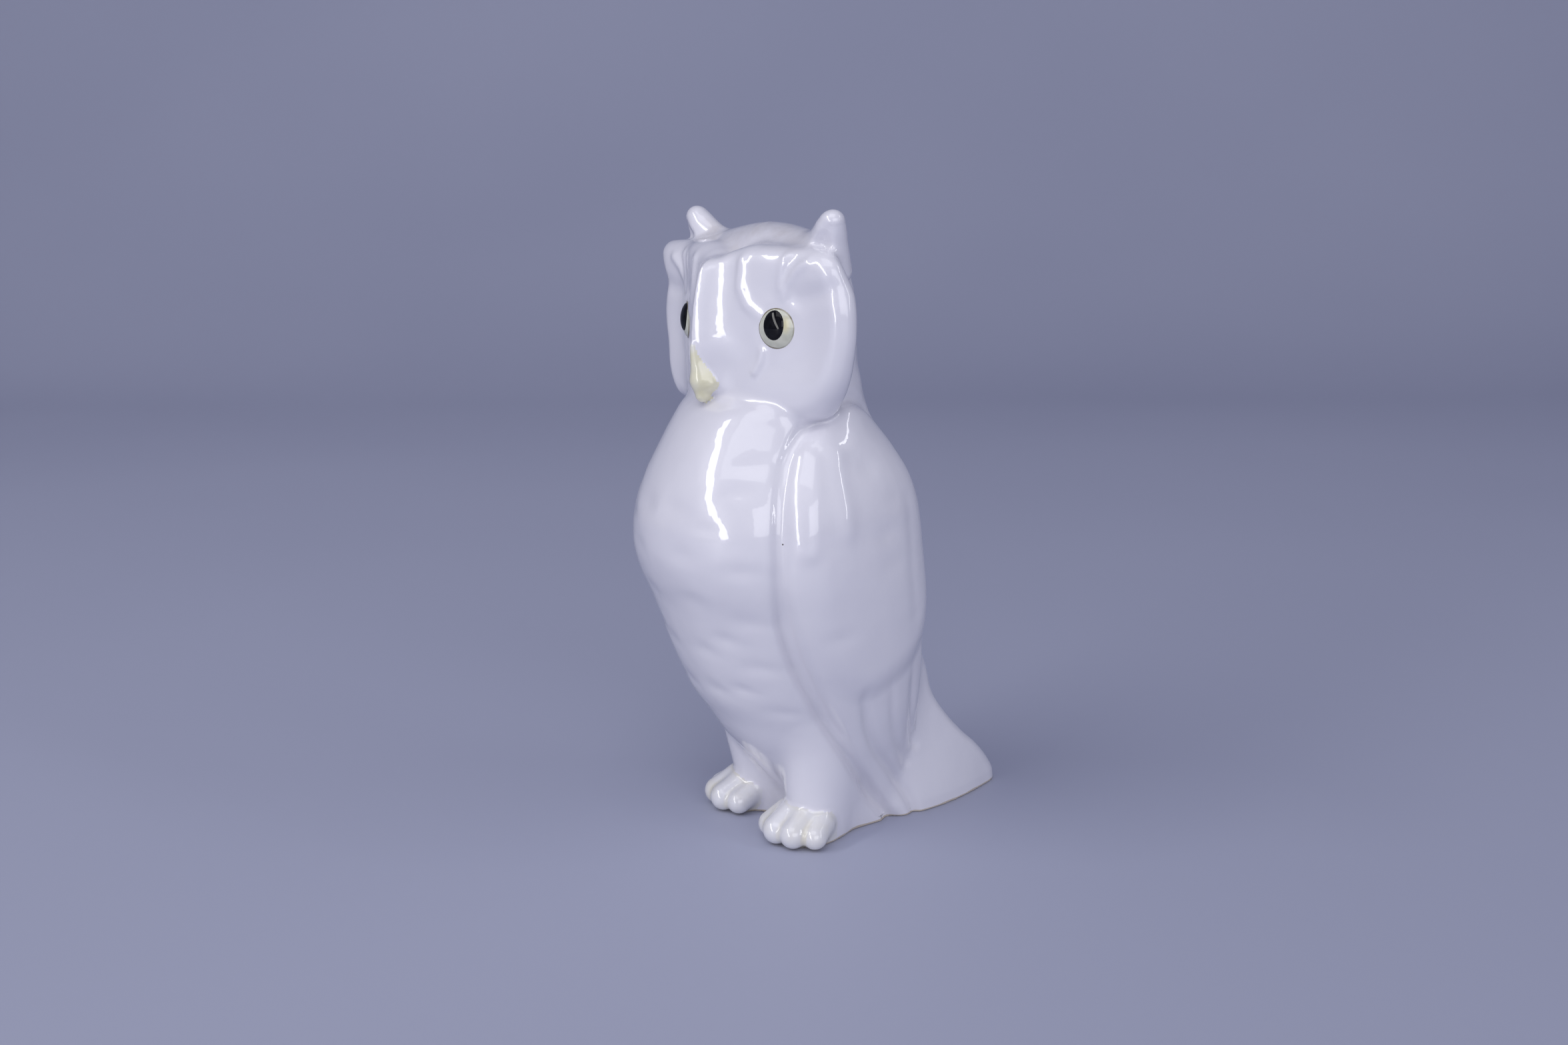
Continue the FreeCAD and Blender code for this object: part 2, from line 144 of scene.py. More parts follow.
class Sheet:
    """a plan function of two coordinates, worked out once on a fine grid and read back smoothly"""

    def __init__(s, f, u0, u1, v0, v1, h=0.2, soft=0):
        s.u0, s.v0, s.h = u0, v0, h
        nu, nv = int((u1 - u0) / h) + 2, int((v1 - v0) / h) + 2
        U, V = np.meshgrid(u0 + np.arange(nu) * h, v0 + np.arange(nv) * h, indexing="ij")
        g = f(U, V)
        for _ in range(soft):
            p = np.pad(g, 1, mode="edge")
            g = (p[:-2, 1:-1] + 2 * p[1:-1, 1:-1] + p[2:, 1:-1]) / 4
            p = np.pad(g, 1, mode="edge")
            g = (p[1:-1, :-2] + 2 * p[1:-1, 1:-1] + p[1:-1, 2:]) / 4
        s.g = g

    def __call__(s, u, v):
        nu, nv = s.g.shape
        a = np.clip((u - s.u0) / s.h, 0, nu - 1.001)
        b = np.clip((v - s.v0) / s.h, 0, nv - 1.001)
        i, j = a.astype(np.int32), b.astype(np.int32)
        fa, fb = a - i, b - j
        k = i * nv + j
        g = s.g.ravel()
        return (g[k] * (1 - fa) + g[k + nv] * fa) * (1 - fb) + (g[k + 1] * (1 - fa) + g[k + nv + 1] * fa) * fb


# ---- trunk: half-width, front and back against height
TZ = [0, 4, 8, 12, 16, 20, 24, 28, 32, 36, 40, 44, 48, 52, 56, 60, 64, 68, 70, 72, 78]
TA = [9.5, 9.8, 10.6, 12.0, 13.8, 15.4, 16.7, 17.8, 18.7, 19.5, 20.2, 20.7, 20.9, 20.7, 20.2, 18.9, 17.0, 15.4, 15.1, 14.7, 13.2]
TF = [2.0, 0.0, -3.0, -6.4, -9.8, -12.5, -15.3, -17.2, -18.8, -20.2, -21.6, -23.4, -24.5, -24.6, -23.7, -22.2, -20.1, -17.6, -15.9, -13.4, -10.5]
TB = [22.2, 22.0, 22.0, 22.2, 22.4, 22.8, 23.1, 22.9, 22.2, 21.5, 20.7, 19.8, 19.1, 18.9, 18.6, 17.7, 15.3, 12.4, 11.3, 10.4, 9.0]
pa, pf, pb = Prof(TZ, TA), Prof(TZ, TF), Prof(TZ, TB)


def torso(x, y, z):
    zc = np.clip(z, 0, 78)
    a, f, b = pa(zc), pf(zc), pb(zc)
    yc, hb = (f + b) / 2, (b - f) / 2
    n = 2.15
    r = ((np.abs(x) / a) ** n + (np.abs(y - yc) / hb) ** n) ** (1 / n)
    d = (r - 1) * np.minimum(a, hb) * 0.98
    return smax(d, z - 77, 4)


# ---- head: plan of the face (y against half-width) and front outline of the facial disc
UX = [0, 1, 2, 4, 6, 8, 10, 11.7, 13.4, 15, 16.5, 18, 20, 22, 24, 26]
fxl = Prof(UX, [-17.4, -16.7, -15.8, -14.35, -13.3, -12.35, -11.4, -10.5, -9.65, -8.95, -8.4, -8.0, -7.55, -7.0, -5.8, -4.2])
fxr = Prof(UX, [-17.4, -16.7, -15.8, -14.4, -13.3, -12.35, -11.4, -10.5, -9.75, -9.3, -9.1, -9.0, -8.85, -8.4, -7.4, -5.8])
ryp = Prof([60, 68, 72, 76, 80, 84, 88, 92, 96, 100], [2.4, 1.9, 1.4, 0.6, 0.05, 0.3, 0.95, 2.0, 3.2, 4.4])
LOW = [(16.6, 69.3), (12.8, 68.5), (9.4, 68.4), (6.6, 68.9), (4.6, 69.8), (2.4, 71.2), (-2, 71.8), (-8, 71.6)]
DISC_L = crom([(-8, 92.8), (0, 92.6), (2.6, 93.7), (5.4, 94.5), (8.6, 94.5), (12.4, 94.3), (16.0, 94.3), (19.2, 93.7), (21.5, 92.0),
               (22.5, 88.4), (23.3, 85.2), (23.3, 81.4), (22.5, 77.8), (21.4, 74.8), (19.5, 72.0)] + LOW, 5, closed=True)
DISC_R = crom([(-8, 92.8), (0, 92.6), (2.6, 93.7), (5.4, 94.7), (9.6, 95.0), (14.6, 94.9), (19.0, 94.9), (22.6, 94.7), (23.9, 92.7), (22.4, 89.7),
               (22.4, 86.8), (23.1, 84.0), (23.0, 81.2), (22.2, 78.2), (21.7, 74.6), (20.5, 71.6), (18.8, 69.6)] + LOW, 5, closed=True)
EX, EY, EZ = 12.1, -10.18, 82.5
EYE_TURN = math.radians(27)


def relief(u, v):
    """how far the face stands forward of its plain plan, at half-width u and height v"""
    h = np.zeros_like(u)
    r = np.hypot(u - EX, v - EZ)
    h += 0.04 * gl(r - 3.7, 0.7)                                      # soft lid around the eye
    h -= 0.07 * gl(r - 5.6, 1.8)
    h -= 0.60 * gl(np.hypot((u - 6.6) / 2.6, (v - 79.8) / 4.2), 1.0)   # hollow between bill and eye
    h -= 0.16 * gl(np.hypot((u - 3.9) / 1.8, (v - 86.8) / 4.2), 1.0)   # hollow beside the ridge
    h += 0.46 * gl(pdist2(u, v, [(6.4, 92.4), (6.4, 88.4), (7.5, 85.9), (9.4, 84.3)]), 0.9)
    h += 0.34 * gl(pdist2(u, v, [(13.4, 93.0), (12.9, 90.6), (12.6, 88.4)]), 0.6)
    h += 0.38 * gl(pdist2(u, v, [(17.2, 92.2), (15.0, 90.6), (13.6, 88.6), (13.1, 87.2)]), 0.7)
    h -= 0.20 * gl(pdist2(u, v, [(15.0, 92.6), (13.9, 91.0), (13.2, 88.8)]), 0.7)
    h -= 0.46 * gl(pdist2(u, v, [(15.6, 86.8), (18.4, 87.4), (21.0, 88.3), (24.0, 89.4)]), 1.6)  # valley under the brow
    h += 0.40 * gl(np.hypot((u - 18.4) / 5.0, (v - 90.6) / 3.4), 1.0)  # brow knob
    h -= 0.55 * gl(np.hypot((u - 4.0) / 2.0, (v - 75.4) / 3.0), 1.0)  # the face falls back beside the bill
    h += 0.50 * gl(pdist2(u, v, [(9.9, 79.2), (9.6, 77.6), (8.6, 75.8)]), 0.5)                    # crease under the eye
    h -= 0.16 * gl(pdist2(u, v, [(10.9, 79.0), (10.6, 77.0), (9.5, 75.2)]), 1.0)
    h += 0.22 * gl(np.hypot((u - 13.0) / 6.0, (v - 72.6) / 4.4), 1.0)  # cheek above the throat
    return h


DISC_SL = Sheet(lambda u, v: polysd(u, v, DISC_L), -4, 30, 58, 106, 0.2, 3)
DISC_SR = Sheet(lambda u, v: polysd(u, v, DISC_R), -4, 30, 58, 106, 0.2, 3)


def face_y(u, v, plan):
    y = plan(u) + ryp(v) * gl(u, 7.0) - relief(u, v)
    y = y + 0.016 * np.maximum(v - 91, 0) ** 2 + 0.012 * np.maximum(75.5 - v, 0) ** 2
    # the eye sits on its own small flat, turned outwards
    w = 0.70 * gl(np.hypot(u - EX, v - EZ), 5.2)
    return y * (1 - w) + w * (EY + (u - EX) * math.tan(EYE_TURN))


FACE_L = Sheet(lambda u, v: face_y(u, v, fxl), 0, 30, 58, 106, 0.2, 3)
FACE_R = Sheet(lambda u, v: face_y(u, v, fxr), 0, 30, 58, 106, 0.2, 3)


def head(x, y, z):
    ax = np.abs(x)
    q = 2.3
    core = (((ax / 13.8) ** q + (np.abs(y + 0.5) / 8.7) ** q + (np.abs(z - 84.0) / 12.8) ** q) ** (1 / q) - 1) * 9.4
    crown = capsule(ax, y, z, (-1, -3.0, 93.1), (12.0, -2.9, 92.5), 4.1, 3.7)
    neck = ellipsoid(x, y, z, (0, -1.3, 71), (13.8, 11.2, 14))
    d = smin(smin(core, crown, 3.0), neck, 5)
    front = -(y - np.where(x > 0, FACE_L(ax, z), FACE_R(ax, z))) * 0.80
    bk = (y + 0.9 + 0.20 * (ax - 12) + 1.7 * sstep(87, 92.5, z)) * 0.93
    rim = np.where(x > 0, DISC_SL(ax, z), DISC_SR(ax, z))
    slab = smax(smax(front, bk, 1.8), rim - 0.12, 2.9)
    return smin(d, slab, 1.0 + 0.5 * sstep(78, 86, z))


def beak(x, y, z):
    ax = np.abs(x)
    b = capsule(ax, y, z, (0, -16.9, 79.4), (0, -15.6, 74.3), 0.5, 1.75)
    b = smin(b, capsule(ax, y, z, (0, -15.6, 74.3), (0, -15.4, 72.1), 1.7, 1.2), 0.6)
    b = smin(b, capsule(ax, y, z, (0.5, -15.6, 76.2), (1.5, -14.8, 73.9), 0.7, 1.0), 0.9)
    return b


def ears(x, y, z):
    ax = np.abs(x)
    top = 98.2 - 0.25 * np.sign(x)
    k = (z - 91.0) / (top - 91.0) * 7.2 + 91.0
    e = capsule(ax, y, k, (15.1, -2.7, 91.0), (18.1, -4.3, 98.2), 3.3, 1.6)
    e = smin(e, capsule(ax, y, k, (12.6, -3.2, 91.4), (16.7, -4.2, 96.6), 2.9, 1.8), 1.6)
    e = smin(e, capsule(ax, y, k, (11.0, -3.0, 94.0), (17.2, -4.2, 98.0), 1.8, 1.3), 1.4)
    hol = capsule(ax, y, k, (17.3, -7.0, 93.5), (18.9, -7.15, 96.4), 2.5, 1.5)
    return smax(e, -hol, 0.9)


# ---- wings, feather steps and coverts: side outlines (y, z)
WING = crom([(1, 71.5), (-3.4, 69.6), (-7.4, 67.2), (-10.2, 64.0), (-12.6, 59.2), (-13.9, 53.4), (-13.9, 46.0), (-12.5, 40.0), (-10.8, 35.2), (-8.4, 30.2),
             (-5.0, 24.6), (-0.8, 18.4), (3.6, 12.6), (8.2, 6.6), (11.8, 2.4), (15.4, -1.4), (21, -3), (21.4, 4), (19.6, 12), (17.6, 22), (16.6, 32),
             (16.0, 42), (14.4, 52), (11.6, 61), (7, 68.4)], 5, closed=True)
COV = crom([(1.6, 69.4), (-4, 67.4), (-8.4, 63.8), (-10.9, 58.6), (-11.8, 52), (-11.4, 45), (-10.2, 39), (-8.2, 34.2), (-5.6, 30.4), (-1.6, 27.2), (1.4, 26.2),
            (5.7, 27.8), (10.6, 30.6), (14.4, 35), (15.6, 42), (14.6, 51), (12.2, 59.4), (8, 66)], 5, closed=True)
F2 = crom([(0.8, 27.2), (2.6, 22.4), (4.8, 18.0), (8.4, 13.2), (12.9, 8.6), (16.6, 3.6), (18.6, -1.0)], 6)
F3 = crom([(6.4, 27.6), (8.4, 21), (11.6, 15.0), (16.4, 9.4)], 6)
F4 = crom([(11.6, 31), (12.8, 24.0), (15.0, 17.4), (18.4, 12.0)], 6)
F5 = crom([(7.7, 56), (8.1, 52.4), (8.4, 44.6), (9.6, 38.0)], 6)
WING_S = Sheet(lambda u, v: polysd(u, v, WING), -28, 34, -8, 80, 0.2, 8)
COV_S = Sheet(lambda u, v: polysd(u, v, COV), -28, 34, -8, 80, 0.2, 30)


def side_cut(u, v):
    """grooves between the long wing feathers and soft ridges on the shoulder, seen from the side"""
    fade = sstep(29.0, 20.5, v)
    g = 0.76 * gl(pdist2(u, v, F2), 0.8) * fade
    g += 0.34 * gl(pdist2(u, v, F3), 0.8) * sstep(29, 20, v)
    g += 0.40 * gl(pdist2(u, v, F4), 0.8) * sstep(32, 22, v)
    g += 0.16 * gl(pdist2(u, v, F5), 1.3)
    g -= 0.34 * gl(pdist2(u, v, [(-8.6, 63.5), (-10.6, 57.4), (-11.4, 50.6)]), 1.5)
    g -= 0.30 * gl(pdist2(u, v, [(-5.0, 64.0), (-5.6, 60.0), (-5.4, 53.4)]), 1.6)
    for (a, b, r) in ((5.2, 57.1, 2.2), (2.2, 52, 2.0), (3.6, 47.2, 2.4), (0.3, 62, 1.8), (-5.3, 36.5, 2.0)):
        g += 0.19 * np.exp(-(((u - a) / (r * 1.2)) ** 2 + ((v - b) / (r * 0.75)) ** 2))
    return g


CUT_S = Sheet(side_cut, -28, 34, -8, 80, 0.2, 5)


def wing(x, y, z, tor):
    edge = WING_S(y, z)
    w = smax(tor - (1.15 + 0.30 * sstep(-2.5, -9, edge)), edge, 1.6)
    c = smax(tor - 2.35, COV_S(y, z) - 0.6, 4.4)
    w = smin(w, c, 2.0)
    return smax(w, 4.0 - np.abs(x), 1.0)


def legs(x, y, z):
    ax = np.abs(x)
    oy = np.where(x > 0, -0.6, 0.6) * sstep(16, 4, z)
    a = capsule(ax, y - oy, z, (8.4, -1.2, 20), (7.9, 0.6, 1.0), 5.7, 4.4)
    b = capsule(ax, y, z, (8.6, 3.6, 18), (5.5, 5.0, 0.0), 5.4, 4.3)
    return a, b


TOES = (((-3.7, 0.4, 3.6), (-4.45, -2.6, 2.2), 2.1, 2.05), ((-1.45, -0.6, 4.2), (-1.7, -4.2, 2.4), 2.3, 2.3),
        ((1.35, -0.5, 4.1), (1.6, -4.0, 2.35), 2.3, 2.25), ((3.6, 0.6, 3.5), (4.5, -2.1, 2.1), 2.1, 2.0))


def feet(x, y, z):
    ax = np.abs(x)
    ux = np.where(x > 0, ax - 8.3, ax - 10.2)
    uy = y - np.where(x > 0, -3.2, -2.0)
    c0, s0 = math.cos(math.radians(12)), math.sin(math.radians(12))
    ux, uy = ux * c0 + uy * s0, -ux * s0 + uy * c0
    d = None
    for (a, b, r1, r2) in TOES:
        c = capsule(ux, uy, z, a, b, r1, r2)
        d = c if d is None else smin(d, c, 0.8)
    pad = ellipsoid(ux, uy, z, (0, 1.5, 1.6), (4.9, 5.0, 5.6))
    return smin(d, pad, 1.4)


# ---- tail: where its top falls away, and its half-width along Y
tz = Prof([0, 2, 4, 7.6, 11, 15, 18.5, 22, 26, 30], [41.2, 40.8, 39.4, 36.0, 31.9, 27.9, 25.2, 23.4, 22.2, 21.2])
tw = Prof([0, 4, 8, 12, 16, 20, 25.4, 31.7, 36, 41.5, 46], [7.4, 8.0, 8.9, 10.0, 11.0, 11.5, 11.2, 10.0, 8.8, 6.9, 5.2])


def tail(x, y, z):
    ax = np.abs(x)
    top = (y - tz(np.clip(z, 0, 30)) + 0.006 * ax * ax) * 0.72
    hw = tw(y) - 0.10 * np.maximum(z - 2, 0)
    d = smax(top, (ax - hw) * 0.95, 2.0)
    d = smax(d, 4 - y, 2)
    d = d + 0.22 * gl(ax - 3.6 - 0.03 * (y - 25), 0.9) * sstep(22, 27, y) * sstep(3, 9, z)
    return smax(d, z - 27, 5)


DIM = [(13.2, 62.7, 2.2), (12.7, 59.0, 2.0), (3.6, 56.0, 2.5), (6.0, 49.3, 2.3), (14.6, 47.5, 2.2), (5.4, 42.1, 2.4), (13.2, 39.2, 2.2),
       (4.4, 33.6, 2.2), (12.2, 31.5, 2.0), (3.6, 26.6, 2.0), (11.8, 23.4, 1.8), (9.6, 53.6, 2.1), (9.0, 36.0, 2.0), (8.4, 27.4, 1.7)]


def front_cut(u, v):
    """shallow feather scallops on the breast, seen from the front"""
    g = np.zeros_like(u)
    for (a, c, r) in DIM:
        g += 0.20 * np.exp(-(((u - a) / (r * 1.15)) ** 2 + ((v - c + 0.25 * ((u - a) / r) ** 2) / (r * 0.62)) ** 2))
    return g


BREAST_S = Sheet(front_cut, 0, 30, 0, 80, 0.25, 1)
PARTS = ("torso", "left_wing", "right_wing", "tail", "head", "left_ear_tuft", "right_ear_tuft", "beak", "left_foot", "right_foot")


def field(x, y, z, parts=False):
    ax = np.abs(x)
    t = torso(x, y, z)
    la, lb = legs(x, y, z)
    t0 = smin(smin(t, la, 1.6), lb, 4)
    tl = tail(x, y, z)
    w = wing(x, y, z, t)
    h = head(x, y, z)
    e = ears(x, y, z)
    b = beak(x, y, z)
    f = feet(x, y, z)
    d = smin(smin(t0, tl, 3.5), w, 0.4)
    d = d + (CUT_S(y, z) + (0.58 + 0.72 * sstep(48, 34, z)) * gl(WING_S(y, z) - 0.1, 1.15) * (1 - sstep(15.0, 18.5, y))) * sstep(5, 8.5, ax) + BREAST_S(ax, z) * (1 - sstep(-8, -3, y))
    d = smin(d, h, 1.1)
    d = smin(d, e, 1.2)
    d = smin(d, b, 0.7)
    d = smin(d, f, 0.7)
    if parts:
        big = 50.0
        L, R = np.where(x > 0, 0, big), np.where(x > 0, big, 0)
        return np.stack([t0, w + L - 0.15, w + R - 0.15, tl + 0.4, h, e + L, e + R, b, f + L, f + R])
    return d


def grad(f, P, e=0.05):
    g = np.zeros_like(P)
    for i in range(3):
        a, b = P.copy(), P.copy()
        a[:, i] += e
        b[:, i] -= e
        g[:, i] = (f(*a.T) - f(*b.T)) / (2 * e)
    return g


def surface(f, lo, hi, h, block=6):
    """grid the field near its zero level and lay a net of quads on it"""
    lo = np.array(lo, float)
    nb = np.ceil((np.array(hi) - lo) / h / block).astype(int)
    bs = block * h
    c = [lo[i] + (np.arange(nb[i]) + 0.5) * bs for i in range(3)]
    X, Y, Z = np.meshgrid(*c, indexing="ij")
    d = f(X.ravel(), Y.ravel(), Z.ravel()).reshape(nb)
    V = np.where(np.repeat(np.repeat(np.repeat(d, block, 0), block, 1), block, 2) > 0, F32(10), F32(-10)).astype(F32)
    idx = np.argwhere(np.abs(d) < 1.15 * bs)
    o = np.arange(block)
    off = np.stack(np.meshgrid(o, o, o, indexing="ij"), -1).reshape(-1, 3)
    for s in range(0, len(idx), 1200):
        ii = (idx[s:s + 1200, None, :] * block + off[None]).reshape(-1, 3)
        p = lo + ii * h
        V[ii[:, 0], ii[:, 1], ii[:, 2]] = f(p[:, 0], p[:, 1], p[:, 2])
    S = V < 0
    cor = [(i, j, k) for i in (0, 1) for j in (0, 1) for k in (0, 1)]
    tot = sum(S[i:S.shape[0] - 1 + i, j:S.shape[1] - 1 + j, k:S.shape[2] - 1 + k].astype(np.int8) for i, j, k in cor)
    act = (tot > 0) & (tot < 8)
    ids = -np.ones(act.shape, np.int64)
    A = np.argwhere(act)
    ids[act] = np.arange(len(A))
    acc, cnt = np.zeros((len(A), 3)), np.zeros(len(A))
    val = {q: V[A[:, 0] + q[0], A[:, 1] + q[1], A[:, 2] + q[2]].astype(float) for q in cor}
    for a in cor:
        for ax in range(3):
            if a[ax] == 0:
                b = list(a)
                b[ax] = 1
                va, vb = val[a], val[tuple(b)]
                m = (va < 0) != (vb < 0)
                t = np.where(m, va / (va - vb + 1e-20), 0)
                q = np.array(a, float)[None] + np.zeros((len(A), 1))
                q[:, ax] += t
                acc += np.where(m[:, None], q, 0)
                cnt += m
    P = lo + (A + acc / cnt[:, None]) * h
    quads = []
    n = np.array(S.shape)
    for ax in range(3):
        r = [np.arange(1, n[i] - 1) for i in range(3)]
        r[ax] = np.arange(0, n[ax] - 1)
        g2 = [q.copy() for q in r]
        g2[ax] = g2[ax] + 1
        s0, s1 = S[np.ix_(*r)], S[np.ix_(*g2)]
        m = s0 != s1
        E = np.argwhere(m)
        flip = s0[m]
        E = np.stack([r[i][E[:, i]] for i in range(3)], -1)
        u, v = [(1, 2), (2, 0), (0, 1)][ax]

        def cell(du, dv):
            q = E.copy()
            q[:, u] -= du
            q[:, v] -= dv
            return ids[q[:, 0], q[:, 1], q[:, 2]]
        q = np.stack([cell(1, 1), cell(0, 1), cell(0, 0), cell(1, 0)], -1)
        quads.append(np.where(flip[:, None], q, q[:, ::-1]))
    return P, np.concatenate(quads)


def settle(f, P, it, step):
    """pull the net's corners on to the true surface"""
    for _ in range(it):
        d = f(*P.T)
        g = grad(f, P)
        st = g * (d / ((g * g).sum(1) + 1e-9))[:, None]
        L = np.linalg.norm(st, axis=1) + 1e-12
        P = P - st * np.minimum(1, step / L)[:, None]
    return P


def field0(x, y, z):
    return np.maximum(field(x, y, z), -z)
# SCULPT-END

# ======================================================================
# One mesh of the whole sculpt, split into the modelled pieces
# ======================================================================
SHIFT = -8.63          # the standing axis to the middle of the footprint, along Y
H = 0.40
P, Q = surface(field0, (-30, -34, -1.2), (30, 46, 104), H)
P = settle(field0, P, 3, H * 0.5)
G = grad(field0, P)
N = G / (np.linalg.norm(G, axis=1, keepdims=True) + 1e-9)
low = P[:, 2] < 0.35

# which modelled piece each corner and each face belongs to: the part whose field is lowest there
dist = field(*P.T, parts=True)
vert_part = dist.argmin(0)
cen = P[Q].mean(1)
face_part = field(*cen.T, parts=True).argmin(0)

# how enclosed each point is: 0 open, 1 deep in a crease; porcelain() uses it as painted shade, drawing the creases and
# hollows darker
crease_shade = np.zeros(len(P))
for r, w in ((0.7, 0.45), (1.6, 0.35), (3.2, 0.20)):
    q = P + N * r
    crease_shade += w * np.clip(1 - field0(*q.T) / r, 0, 1)
groove = np.clip(1 - field0(*(P + N * 0.55).T) / 0.55, 0, 1)
dust = sstep(90.6, 92.6, P[:, 2]) * (1 - sstep(12.5, 16.5, np.abs(P[:, 0]))) * sstep(0.25, 0.75, N[:, 2]) * sstep(-11.0, -7.0, P[:, 1])
above = P[:, 2].copy()


def scene_xyz(p):
    q = np.array(p, float) * 0.001
    q[..., 1] += SHIFT * 0.001
    return q


def make_mesh(name, verts, faces, normals=None, attrs=None, smooth=True):
    me = bpy.data.meshes.new(name)
    me.from_pydata([tuple(v) for v in verts], [], [tuple(int(i) for i in f) for f in faces])
    me.polygons.foreach_set("use_smooth", [smooth] * len(me.polygons))
    for k, v in (attrs or {}).items():
        a = me.attributes.new(k, "FLOAT", "POINT")
        a.data.foreach_set("value", np.ascontiguousarray(v, dtype=np.float32))
    me.update()
    if normals is not None:
        me.normals_split_custom_set_from_vertices([tuple(n) for n in normals])
    ob = bpy.data.objects.new(name, me)
    bpy.context.scene.collection.objects.link(ob)
    return ob


def tidy_labels(lab, rounds=6):
    """give stray faces the label most of their neighbours have"""
    edges = np.concatenate([np.sort(Q[:, [i, (i + 1) % 4]], 1) for i in range(4)])
    fid = np.tile(np.arange(len(Q)), 4)
    key = edges[:, 0] * np.int64(len(P)) + edges[:, 1]
    o = np.argsort(key, kind="stable")
    key, fid = key[o], fid[o]
    same = np.flatnonzero(key[1:] == key[:-1])
    A, B = fid[same], fid[same + 1]
    n = len(PARTS)
    for _ in range(rounds):
        cnt = np.zeros((len(Q), n), np.int32)
        np.add.at(cnt, (A, lab[B]), 1)
        np.add.at(cnt, (B, lab[A]), 1)
        best = cnt.argmax(1)
        m = cnt[np.arange(len(Q)), best] >= 3
        lab = np.where(m, best, lab)
    # islands smaller than the main patch of each label join their surroundings
    parent = np.arange(len(Q))

    def find(i):
        while parent[i] != i:
            parent[i] = parent[parent[i]]
            i = parent[i]
        return i
    for a, b in zip(A[lab[A] == lab[B]], B[lab[A] == lab[B]]):
        ra, rb = find(a), find(b)
        if ra != rb:
            parent[ra] = rb
    root = np.array([find(i) for i in range(len(Q))])
    main = {}
    for k in range(n):
        w = root[lab == k]
        if len(w):
            u, c = np.unique(w, return_counts=True)
            main[k] = u[c.argmax()]
    stray = ~np.isin(root, list(main.values()))
    for _ in range(60):
        if not stray.any():
            break
        cnt = np.zeros((len(Q), n), np.int32)
        ok = ~stray[B]
        np.add.at(cnt, (A[ok], lab[B][ok]), 1)
        ok = ~stray[A]
        np.add.at(cnt, (B[ok], lab[A][ok]), 1)
        m = stray & (cnt.sum(1) > 0)
        lab = np.where(m, cnt.argmax(1), lab)
        stray &= ~m
    return lab


face_part = tidy_labels(face_part)
WALL = 0.9             # each piece is a closed shell; its back face lies inside the body
pieces = {}
for k, name in enumerate(PARTS):
    sel = np.flatnonzero(face_part == k)
    if not len(sel):
        raise SystemExit("no faces for " + name)
    q = Q[sel]
    used, inv = np.unique(q, return_inverse=True)
    q = inv.reshape(q.shape)
    v, nn = P[used], N[used]
    thin = WALL if name in ("torso", "head", "left_wing", "right_wing", "tail") else 0.5
    inner = v - nn * thin
    inner[:, 2] = np.maximum(inner[:, 2], 0.0 + 0.02 * (v[:, 2] > 0.05))
    m = len(v)
    e = np.concatenate([q[:, [i, (i + 1) % 4]] for i in range(4)])
    key = e.min(1) * np.int64(m) + e.max(1)
    u, first, c = np.unique(key, return_index=True, return_counts=True)
    rim = e[first[c == 1]]
    faces = [tuple(f) for f in q]
    faces += [tuple(f[::-1] + m) for f in q]
    faces += [(b, a, a + m, b + m) for a, b in rim]
    attrs = {"crease_shade": np.concatenate([crease_shade[used]] * 2), "groove": np.concatenate([groove[used]] * 2),
             "dust": np.concatenate([dust[used]] * 2)}
    ob = make_mesh("skin_" + name, scene_xyz(np.concatenate([v, inner])), faces, np.concatenate([nn, -nn]), attrs)
    pieces[name] = ob


# ======================================================================
# Eyes: a domed iris set in the face, and a thin oval pupil laid over it
# ======================================================================
def face_point(x, z):
    """where the sculpt's face is, looking straight back at (x, z)"""
    lo_, hi_ = -20.0, -4.0
    ys = np.linspace(lo_, hi_, 321)
    d = field(np.full_like(ys, x), ys, np.full_like(ys, z))
    i = int(np.argmax(d < 0))
    return ys[i - 1] + (ys[i] - ys[i - 1]) * d[i - 1] / (d[i - 1] - d[i])


ring = [(EX + 2.9 * math.cos(t), EZ + 2.9 * math.sin(t)) for t in np.linspace(0, 2 * math.pi, 16, endpoint=False)]
fit = np.array([(px, face_point(px, pz), pz) for px, pz in ring])
cen_y = fit[:, 1].mean()
gx = np.polyfit(fit[:, 0], fit[:, 1], 1)[0]
gz = np.polyfit(fit[:, 2], fit[:, 1], 1)[0]
EYE_O = (EX, cen_y, EZ)
EYE_AX = Vector((gx, -1.0, gz)).normalized()


def eye_frame(sg):
    n = Vector((EYE_AX.x * sg, EYE_AX.y, EYE_AX.z))
    side = Vector((0, 0, 1)).cross(n).normalized()
    up = n.cross(side).normalized()
    toward_bill = side if side.x * sg < 0 else -side
    return n, up, toward_bill


R_IRIS, DOME, CENTRE_IN = 2.96, 1.0, 0.02


def dome_height(r):
    """height of the enamel dome above the socket plane at radius r"""
    R = (R_IRIS ** 2 + DOME ** 2) / (2 * DOME)
    return np.sqrt(np.maximum(R * R - r * r, 0.01)) - (R - DOME)


